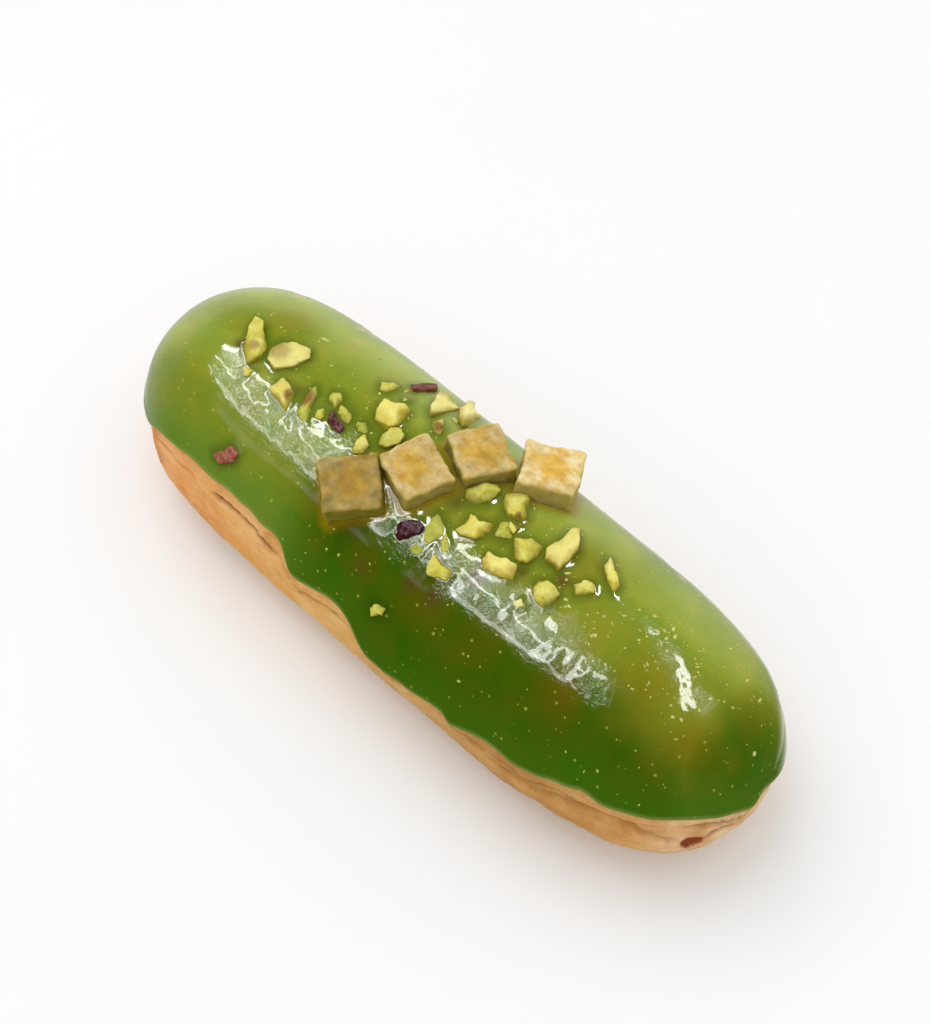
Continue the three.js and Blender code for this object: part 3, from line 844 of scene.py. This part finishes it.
chip_values = {name: np.concatenate(found) for name, found in chip_values.items()}
chips_mesh = new_mesh("chopped_pistachio", *together(chip_points, chip_faces), chip_values)
show(chips_mesh, pistachio_kernel)
skin_reds = {"red": np.repeat([red for _, red in SKINS], len(chip_directions))}
skins_mesh = new_mesh("pistachio_skin_flakes", *together(skin_points, chip_faces), skin_reds)
show(skins_mesh, seed_skin)

# %% [markdown]
# ## Glaze round the toppings, and what shows through it
# Soft glaze climbs a little up whatever is pressed into it, so the icing's points are lifted by how
# near a topping is. Pieces that sank right in show only as soft brown or mauve spots, choux shows
# through as olive patches, and through the thinnest glaze at the far rim as tan ones. Where the
# skin had begun to set, pressing crumpled it. These places could be painted as a picture, but that
# would need one unwrapped flat, so they are stored as values, placed by where the camera sees them.

# %% Places on the icing
SPOTS = [  # pixel, radius in pixels, how strong
    (411, 585, 9, 0.6), (432, 597, 10, 0.6), (476, 578, 9, 0.9), (523, 572, 6, 0.7), (563, 581, 8, 0.8),
    (456, 503, 9, 0.6), (354, 529, 11, 0.35), (300, 390, 7, 0.4), (240, 345, 8, 0.7), (362, 566, 9, 0.3),
]
OLIVE_PATCHES = [  # the same: choux showing through thinner glaze
    (480, 640, 40, 0.45), (420, 600, 36, 0.6), (640, 690, 42, 0.6), (560, 690, 30, 0.8), (330, 500, 26, 0.5),
    (365, 560, 24, 0.5), (400, 385, 30, 0.4), (590, 560, 34, 0.5), (690, 745, 30, 0.7), (300, 320, 32, 0.5),
    (250, 400, 22, 0.4), (520, 760, 26, 0.4), (665, 785, 36, 0.35),
]
THIN_GLAZE = [  # the same: places where the tan crust nearly shows
    (298, 296, 7, 0.9), (362, 329, 7, 0.8), (374, 336, 6, 0.8), (682, 578, 6, 0.8),
]
CRUMPLED = [  # the same: where the setting skin took wrinkles
    (226, 366, 12, 0.8), (243, 380, 14, 0.8), (259, 392, 13, 0.9), (270, 408, 11, 1), (284, 424, 13, 1.1),
    (300, 444, 12, 1.1), (318, 446, 13, 1.1), (336, 438, 11, 1), (350, 440, 8, 1), (250, 400, 9, 0.5),
    (312, 466, 8, 0.6), (386, 505, 12, 1.1), (392, 528, 10, 1.1), (405, 552, 11, 1), (424, 560, 10, 1),
    (463, 552, 12, 1), (460, 572, 13, 1), (478, 600, 13, 1), (500, 590, 13, 1.1), (505, 612, 15, 1),
    (524, 608, 14, 1), (545, 618, 14, 1), (566, 622, 13, 1), (574, 640, 13, 1.2), (558, 654, 14, 1.2),
    (580, 664, 13, 1.1), (573, 680, 11, 1), (592, 690, 12, 1), (600, 704, 8, 0.9), (530, 636, 11, 0.8),
    (650, 625, 8, 0.5), (666, 652, 12, 1), (678, 672, 10, 1.2), (684, 690, 10, 1.3), (690, 706, 9, 1.1),
    (702, 698, 10, 1), (440, 592, 9, 0.8), (500, 600, 26, 0.7), (550, 640, 26, 0.8), (585, 675, 18, 1),
    (262, 405, 24, 0.7), (300, 445, 20, 0.7), (395, 530, 16, 0.8), (215, 372, 10, 0.8), (228, 392, 12, 0.9),
    (244, 408, 12, 0.9), (258, 424, 12, 1), (272, 438, 12, 1), (288, 452, 12, 1), (304, 464, 12, 1),
    (318, 474, 10, 1),
]


def painted(places):
    """For each point of the icing, how far it lies in any of the places, from 0 to 1."""
    total = np.zeros(turn.shape)
    for x, y, radius, strength in places:
        away = np.linalg.norm(coat - on_icing((x, y))[0], axis=-1) / (radius / PIXELS_PER_MM)
        total = np.maximum(total, strength * np.exp(-(away**2)))
    return total


crumpled = painted(CRUMPLED)
folds = 0.05 * np.minimum(crumpled, 1) * waviness(coat, 2.2, 14, 2)
print(f"crumpled skin on {100 * (crumpled > 0.3).mean():.0f} % of the icing's points")

# %% Glaze that climbs the toppings
FAR_MM = 2.5  # how far from the toppings it is still measured
CLIMB, CLIMB_REACH, CLIMB_END = 0.16, 0.4, 2.4  # mm

top_rows = int(0.75 * ICING_ROWS)  # no topping lies lower down
citrus_tree = tree_of(*together([square[0] for square in squares], cube_faces))
chips_tree = tree_of(*together(chip_points + skin_points, chip_faces))


def nearest_mm(tree):
    """How far each point of the coat is from the nearest topping in a tree, up to FAR_MM."""
    found = np.full(turn.shape, FAR_MM)
    for place in np.ndindex(top_rows, ICING_COLUMNS):
        hit = tree.find_nearest(Vector(coat[place]), FAR_MM)
        if hit[0] is not None:
            found[place] = hit[3]
    return found


by_chip, by_citrus = nearest_mm(chips_tree), nearest_mm(citrus_tree)
nearest = np.minimum(by_chip, by_citrus)
climbed = CLIMB * np.exp(-nearest / CLIMB_REACH) * (nearest < CLIMB_END)
coat = skin(icing_outline, turn, outer_lift + folds + climbed)
print(f"glaze within 1 mm of a topping: {100 * (nearest < 1).mean():.0f} % of its points")

# %% The icing as one closed mesh
x, y = coat[..., 0], coat[..., 1]
thick = 0.35 * smooth(14, 1, y) + 0.65 * smooth(-3, -14, y)  # deeper green towards the near side: partly glaze that ran down, partly painted shade
thick = thick * (1 - 0.55 * smooth(-8, -26, x) * smooth(2, -6, y))
thick = np.maximum(thick, 0.85 * smooth(50, 60, x) * smooth(18, 2, y))
thick = np.maximum(thick, 0.16 * smooth(5, 30, x))
inner_turn = np.linspace(1, 0, INNER_ROWS + 1)[:, None] * 0.99 * edge_turn
inner_z = skin(icing_outline, inner_turn)[..., 2]
inner = skin(icing_outline, inner_turn, -INSIDE - inset(inner_z))
icing_values = {
    "edge_mm": edge_mm, "spots": painted(SPOTS), "olive": painted(OLIVE_PATCHES), "thin": painted(THIN_GLAZE),
    "crumpled": crumpled, "thick": thick, "chip_mm": by_chip, "citrus_mm": by_citrus,
}
icing_mesh = ring_mesh("green_glaze", np.concatenate([coat, inner]), {
    name: np.vstack([value, np.full(inner_turn.shape, FAR_MM if name in ("chip_mm", "citrus_mm") else 0)])
    for name, value in icing_values.items()
})
print(f"icing mesh: {len(icing_mesh.vertices)} points")

# %% [markdown]
# ## Set gel glaze
# The glaze is sugar, gelatine and colouring set to a clear gel with a mirror shine. Real clear gel
# over crust could be glass with absorption, but that is slow and noisy, so its depth is in its
# colour: deep green where it is thick, and deepest on the near side, which is partly painted shade,
# marbled with yellower green, olive or tan where choux shows through, painted amber light and shade
# beside the citrus, and painted shade round the chips. Its thin edge is paler and duller.
# Its index of refraction is that of syrup, about 1.46, under a very smooth skin. The crumpled skin
# has wrinkles in its bump, which are too fine for the mesh. The real ones are finer still, but
# 0.8 mm apart they show, and they break up the window's reflection.

# %% Gel glaze's greens
gel_glaze, add, place = new_material("set_gel_glaze")
edge_mm, spots, olive, thin, crumpled, thick, by_chip, by_citrus = (
    add("Attribute", out="Fac", attribute_name=name) for name in icing_values
)
uneven = add("TexNoise", Vector=place, Scale=per(6), Detail=4, Roughness=0.6)
# deeper greens where thick, which towards the near side is partly painted shade
light_green = add("ValToRGB", Fac=thick, stops=[
    (0.0, "#b7c050"), (0.35, "#959a2c"), (0.7, "#6c7a14"), (1.0, "#4a6006"),
])
dark_green = add("ValToRGB", Fac=thick, stops=[
    (0.0, "#9db646"), (0.35, "#7c9426"), (0.7, "#427210"), (1.0, "#2a6002"),
])
marbled = add("MapRange", Value=uneven, From=(0.34, 0.66))
clouds = add("TexNoise", Vector=place, Scale=per(16), Detail=3, Distortion=0.3)
cloudy = add("MapRange", Value=clouds, From=(0.46, 0.72), To=(0, 0.28))
seen_through = add("Math", olive, cloudy, operation="MAXIMUM")
over_choux = add("Mix", Factor=thick, A="#8f7d08", B="#695904", data_type="RGBA")
low = add("MapRange", Value=edge_mm, From=(10, 3), To=(0, 0.75))
low_green = add("Mix", Factor=thick, A="#7a9e3c", B="#456f0c", data_type="RGBA")
print("glaze: green marbled 6 mm and clouded 16 mm apart")

# %% Gel glaze's crumbs, places and edge
crumbs = add("TexVoronoi", Vector=place, Scale=per(1.2), out="Distance")
cell = add("TexVoronoi", Vector=place, Scale=per(1.2), out="Color")
chance = add("SeparateColor", Color=cell, out="Red")
size = add("MapRange", Value=chance, From=(0.4, 1), To=(0.0, 0.3))
inside = add("Math", size, crumbs, operation="SUBTRACT")
sunk = add("MapRange", Value=inside, From=(0, 0.16), To=(0, 0.7))
shaded = add("MapRange", Value=by_chip, From=(1.7, 0.1), To=(0, 0.5))
# painted amber light and shade beside the citrus, in place of light coming through the peel
citrus_glow_and_shade = add("MapRange", Value=by_citrus, From=(1.8, 0.1), To=(0, 0.7))
fringe = add("MapRange", Value=edge_mm, From=(2.0, 0.4), To=(0, 0.85), interpolation_type="SMOOTHSTEP")
glaze_colour = dark_green
for cover, colour in (
    (marbled, light_green), (seen_through, over_choux), (low, low_green), (sunk, "#b9b552"),
    (shaded, "#36500a"), (citrus_glow_and_shade, "#a68208"), (spots, "#5c3f22"), (thin, "#dcb88c"), (fringe, "#98a04c"),
):
    glaze_colour = add("Mix", Factor=cover, A=glaze_colour, B=colour, data_type="RGBA")
print("glaze: sunk crumbs 1.2 mm apart")

# %% Gel glaze's surface, and the piece
wrinkles = add("TexNoise", Vector=place, Scale=per(0.8), Detail=3, Roughness=0.5, Distortion=1.0)
how_deep = add("MapRange", Value=crumpled, To=(0.03, 1.3), clamp=False)
wave = add("Math", wrinkles, how_deep, operation="MULTIPLY")
bumps = add("Bump", Height=wave, Distance=0.00022, Strength=1.0)
shine = add("MapRange", Value=uneven, From=(0.3, 0.7), To=(0.05, 0.1))
dry_edge = add("MapRange", Value=edge_mm, From=(2.0, 0.4), To=(0, 0.35))
dulled = add("Math", shine, dry_edge, operation="ADD")
wet_skin = add("MapRange", Value=edge_mm, From=(0.4, 2.0), To=(0, 0.5))
gel = add(
    "BsdfPrincipled", Base_Color=glaze_colour, Roughness=dulled, Normal=bumps, IOR=1.46,
    Subsurface_Weight=0.3, Subsurface_Radius=(0.9, 1.2, 0.2), Subsurface_Scale=0.001,
    Coat_Weight=wet_skin, Coat_Roughness=0.04,
)
add("OutputMaterial", Surface=gel)
show(icing_mesh, gel_glaze, ["green_icing"])

# %% [markdown]
# ## Flecks
# The finest crumbs of pistachio, and zest stirred into the glaze, lie all over it as pale gold
# flecks, mostly 0.2 to 0.6 mm long. They are thickest near the end with the vent. A particle system
# could strew them, but then they wouldn't be real mesh. So each is a tiny flattened lump, dropped on
# the glaze from above at a seeded random place.

# %% Gold flecks
FLECKS = 520
CITRUS_ROOM, CHIP_ROOM = 0.6, 0.3  # mm kept free round a topping
LOWEST_FLECK = 14  # mm above the table
FLECK_RADIUS, FLECK_SPREAD, FLECK_LONG, FLECK_HIGH = 0.105, 0.48, 2.1, 0.55  # mm, and shares
STREWN_X, STREWN_Y, DROP_Z = 62, 20, 60  # mm from the middle, and above the table

rng = np.random.default_rng(7)
fleck_ball, fleck_faces = ball(2)
final_tree = tree_of(coat, ring_faces(coat))


def fleck_density(x, y):
    """How likely a fleck is kept at a place, from 0 to 1."""
    near_end = np.exp(-(((x - 41) / 16) ** 2) - ((y - 3) / 9) ** 2)
    among_chips = np.exp(-(((x + 4) / 30) ** 2) - ((y - 3) / 9) ** 2)
    return 0.08 + 0.92 * near_end + 0.3 * among_chips


fleck_parts = []
while len(fleck_parts) < FLECKS:
    x, y = rng.uniform(-STREWN_X, STREWN_X), rng.uniform(-STREWN_Y, STREWN_Y)
    if rng.random() > fleck_density(x, y):
        continue
    hit, normal, _, _ = final_tree.ray_cast(Vector((x, y, DROP_Z)), Vector((0, 0, -1)))
    if hit is None or hit.z < LOWEST_FLECK:
        continue
    if citrus_tree.find_nearest(hit, CITRUS_ROOM)[0] or chips_tree.find_nearest(hit, CHIP_ROOM)[0]:
        continue
    normal = normal if normal.z > 0 else -normal
    size = FLECK_RADIUS * np.exp(rng.normal(0, FLECK_SPREAD))
    shape = fleck_ball * [size * rng.uniform(1, FLECK_LONG), size, size * FLECK_HIGH]
    bulges, phases = rng.normal(size=3).clip(-1, 1), rng.uniform(0, 6, 3)
    shape = shape * (1 + 0.35 * bulges @ np.sin(3 * fleck_ball + phases).T / 2)[:, None]
    turned = normal.to_track_quat("Z", "Y").to_matrix() @ Matrix.Rotation(rng.uniform(0, 6.28), 3, "Z")
    fleck_parts.append(np.array(hit) + shape @ np.array(turned).T)
lengths = [np.ptp(part, axis=0).max() for part in fleck_parts]
print(f"{len(fleck_parts)} flecks, half of them under {np.median(lengths):.2f} mm long")

# %% Flecks' material, and the piece
gold_fleck, add, place = new_material("pistachio_crumb")
tone = add("TexNoise", Vector=place, Scale=per(4), Detail=2)
crumb_colour = add("ValToRGB", Fac=tone, stops=[(0.35, "#b2b046"), (0.65, "#dcdb80")])
waxy = add("MapRange", Value=tone, From=(0.3, 0.7), To=(0.3, 0.45))
crumb = add("BsdfPrincipled", Base_Color=crumb_colour, Roughness=waxy, IOR=1.46)
add("OutputMaterial", Surface=crumb)
show(new_mesh("gold_flecks", *together(fleck_parts, fleck_faces)), gold_fleck)

# %% [markdown]
# ## Table
# The table is a plain, pale, matt surface, and the glaze doesn't mirror it. Near the eclair it is
# painted a touch lighter and cooler: painted light, which hides some of the loaf's shade on it and
# the warm light that the loaf throws on it. A curved paper sweep would do as well, but the camera
# looks down, so one flat face is enough.

# %% Table
table_top, add, place = new_material("matt_white_table")
tone = add("TexNoise", Vector=place, Scale=per(60), Detail=2)
white = add("ValToRGB", Fac=tone, stops=[(0.3, "#f9faf9"), (0.7, "#fbfcfb")])
# painted light: a touch lighter and cooler near the eclair, hiding some of its shade and warm bounce
beside = add("Mapping", Vector=place, Scale=(8, 12, 1))
outward = add("VectorMath", beside, operation="LENGTH", out="Value")
painted_light_near_loaf = add("MapRange", Value=outward, From=(1.5, 0.5))
table_with_painted_light = add("Mix", Factor=painted_light_near_loaf, A=white, B="#fcfeff", data_type="RGBA")
matt = add("BsdfPrincipled", Base_Color=table_with_painted_light, Roughness=0.7)
add("OutputMaterial", Surface=matt)
HALF_TABLE, TABLE_Z = 2000, -0.05  # mm
corners = np.array([(-1, -1, 0), (1, -1, 0), (1, 1, 0), (-1, 1, 0)]) * HALF_TABLE + [0, 0, TABLE_Z]
mesh = new_mesh("table", corners, [(0, 1, 2, 3)])
mesh.materials.append(table_top)
table = bpy.data.objects.new("table", mesh)
bpy.context.scene.collection.objects.link(table)
table.visible_glossy = False
print(f"table {1000 * table.dimensions.x:.0f} mm wide")

# %% [markdown]
# ## Light
# The light is that of a pale room with a soft box over its left side. In a glossy glaze a lamp
# shows as its reflection, and one big lamp can't be both soft on the table and right in the glaze.
# So the soft box gives light and isn't mirrored, and the windows are mirrored and give no light.
# They hang where their reflections belong: one with a dim pane and bright bars makes the long
# streak left of the crest, a dim low one lies under it, and a bar and a pane behind the eclair make
# the small streak on its near end. The crumpled skin scatters the bars into fine white lines.
# What the glaze mirrors of the room is dark overhead, and pale on the left and the far side.

# %% Soft box and windows
CEILING = 1.0  # metres
BARS = CEILING - 0.01  # just below the panes, so that they show in front of them


def lamp(name, place, wide, deep, brightness, turned=0, mirrored=True):
    """A bright rectangle that faces down, or the eclair if it isn't mirrored. brightness is what it
    sends in each direction. A mirrored one shows only in glossy reflections."""
    light = bpy.data.lights.new(name, "AREA")
    light.shape, light.size, light.size_y = "RECTANGLE", wide, deep
    light.energy = brightness * np.pi * wide * deep
    made = bpy.data.objects.new(name, light)
    made.location = place
    to_eclair = Vector(place).to_track_quat("Z", "Y").to_euler()
    made.rotation_euler = (0, 0, np.radians(turned)) if mirrored else to_eclair
    made.visible_glossy, made.visible_diffuse, made.visible_camera = mirrored, not mirrored, False
    bpy.context.scene.collection.objects.link(made)


lamp("soft_box", (-1.5, 0.2, 2.7), 2.6, 2.6, 1.3, mirrored=False)
lamp("left_window", (-0.595, -0.2, CEILING), 0.61, 0.6, 1.3, turned=-8)
lamp("left_window_near_bar", (-0.57, -0.47, BARS), 0.68, 0.08, 10, turned=-9)
lamp("left_window_middle_bar", (-0.58, -0.17, BARS), 0.6, 0.03, 24, turned=-5)
lamp("left_window_far_bar", (-0.61, 0.06, BARS), 0.6, 0.06, 25, turned=-3)
lamp("left_window_right_bar", (-0.285, -0.28, BARS - 0.01), 0.07, 0.45, 20, turned=-8)
lamp("low_window", (-0.74, -0.86, CEILING), 0.36, 0.2, 0.8)
lamp("back_bar", (0.03, 0.54, CEILING), 0.85, 0.08, 28, turned=-43)
lamp("back_panel", (0.5, 0.55, CEILING), 0.3, 0.4, 2.2)

# %% Room
room = bpy.data.worlds.new("pale_room")
bpy.context.scene.world = room
room.use_nodes = True
room.node_tree.nodes.clear()
add = partial(add_node, room.node_tree)
facing = add("TexCoord", out="Generated")
upness = add("SeparateXYZ", Vector=facing, out="Z")
not_overhead = add("MapRange", Value=upness, From=(0.6, 0.15))
farness = add("VectorMath", facing, tuple(-back), operation="DOT_PRODUCT", out="Value")
far_wall = add("MapRange", Value=farness, From=(0.7, 1.0))
leftness = add("VectorMath", facing, (-0.82, 0.57, 0.0), operation="DOT_PRODUCT", out="Value")
left_wall = add("MapRange", Value=leftness, From=(0.2, 0.95))
pale_walls = add("Math", far_wall, left_wall, operation="MAXIMUM")
bright = add("Math", not_overhead, pale_walls, operation="MULTIPLY")
reflected = add("Mix", Factor=bright, A="#1c1f1a", B="#e8e8d8", data_type="RGBA")
soft = add("Background", Color="#fbfbfc", Strength=0.82)
shiny = add("Background", Color=reflected, Strength=1.0)
seen = add("Background", Color="#fbfbfb", Strength=1.0)
in_gloss = add("LightPath", out="Is Glossy Ray")
by_eye = add("LightPath", out="Is Camera Ray")
lit = add("MixShader", in_gloss, soft, shiny)
whole = add("MixShader", by_eye, lit, seen)
add("OutputWorld", Surface=whole)
bpy.context.scene.view_settings.view_transform = "Standard"
print(f"room: {len(room.node_tree.nodes)} nodes")
